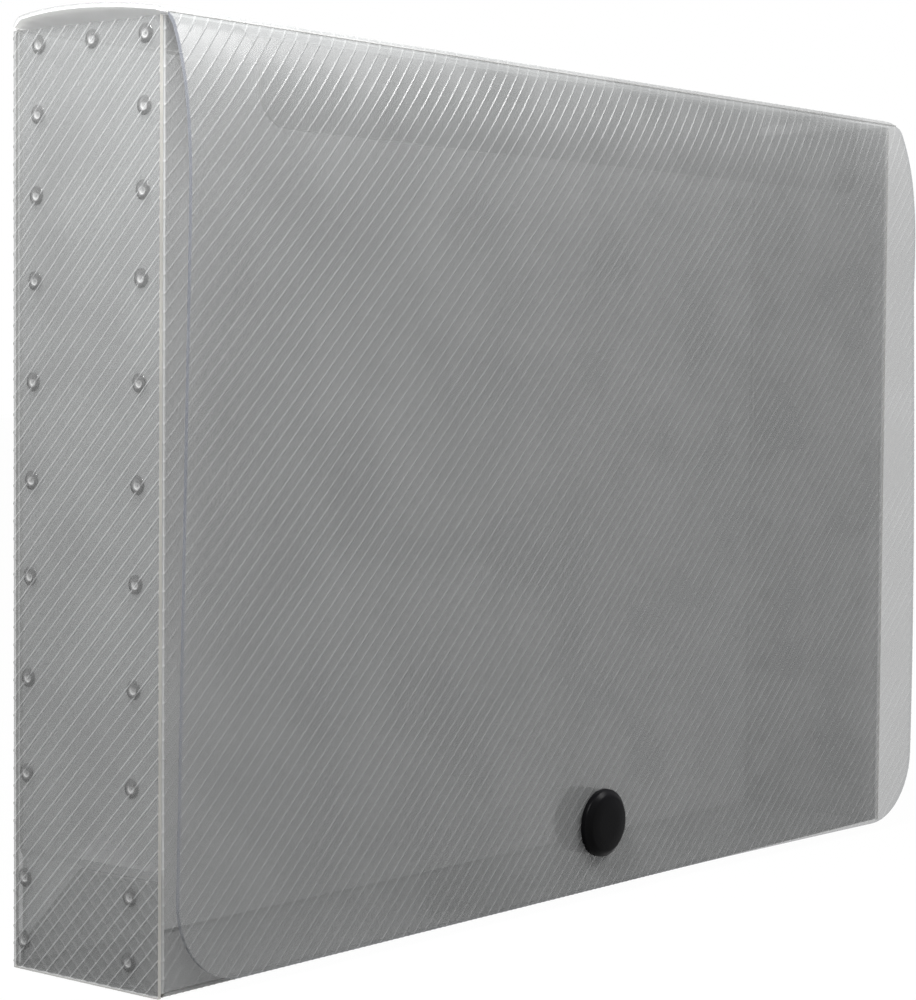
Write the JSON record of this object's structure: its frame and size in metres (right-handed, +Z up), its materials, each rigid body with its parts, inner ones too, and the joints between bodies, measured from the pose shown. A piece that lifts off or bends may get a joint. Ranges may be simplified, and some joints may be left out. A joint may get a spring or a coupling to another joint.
{
  "type": "snap case portfolio",
  "caption": "Flat upright case for letter paper, folded from frosted smoke plastic sheet, with a hinged lid, a bulged front flap and a black snap.",
  "frame": {"origin": "middle of the underside of the bottom panel, on the plane the case stands on", "axes": "+X along the length, to the right as seen from the front; +Y from the front panel to the back panel; +Z up to the lid"},
  "size_m": [0.3404, 0.0639, 0.2399],
  "materials": {
    "smoke_sheet": "frosted translucent, embossed with fine diagonal lines",
    "folded_sheet": "thin translucent fold",
    "melted_dots": "glossy where the sheet was melted",
    "black_snap": "satin black"
  },
  "bodies": {
    "case": {"front_panel": "smoke_sheet", "bottom_panel": "smoke_sheet", "back_panel": "smoke_sheet", "rear_hinge": "folded_sheet", "snap_stud": "black_snap", "stud_backing": "black_snap", "end_outer_left": "smoke_sheet", "end_outer_right": "smoke_sheet", "end_inner_left": "smoke_sheet", "end_inner_right": "smoke_sheet", "bottom_tab_left": "smoke_sheet", "bottom_tab_right": "smoke_sheet", "weld_dots_left": "melted_dots", "weld_dots_right": "melted_dots"},
    "lid": {"lid_panel": "smoke_sheet", "front_hinge": "folded_sheet"},
    "flap": {"flap_panel": "smoke_sheet", "snap_cap": "black_snap", "snap_socket": "black_snap"}
  },
  "joints": [
    {"name": "lid_hinge", "type": "hinge", "parent": "case", "child": "lid", "pos_m": [0, 0.026, 0.23545], "axis": [-1, 0, 0], "range_deg": [0, 140]},
    {"name": "flap_hinge", "type": "hinge", "parent": "lid", "child": "flap", "pos_m": [0, -0.02889, 0.23553], "axis": [-1, 0, 0], "range_deg": [0, 140]}
  ]
}
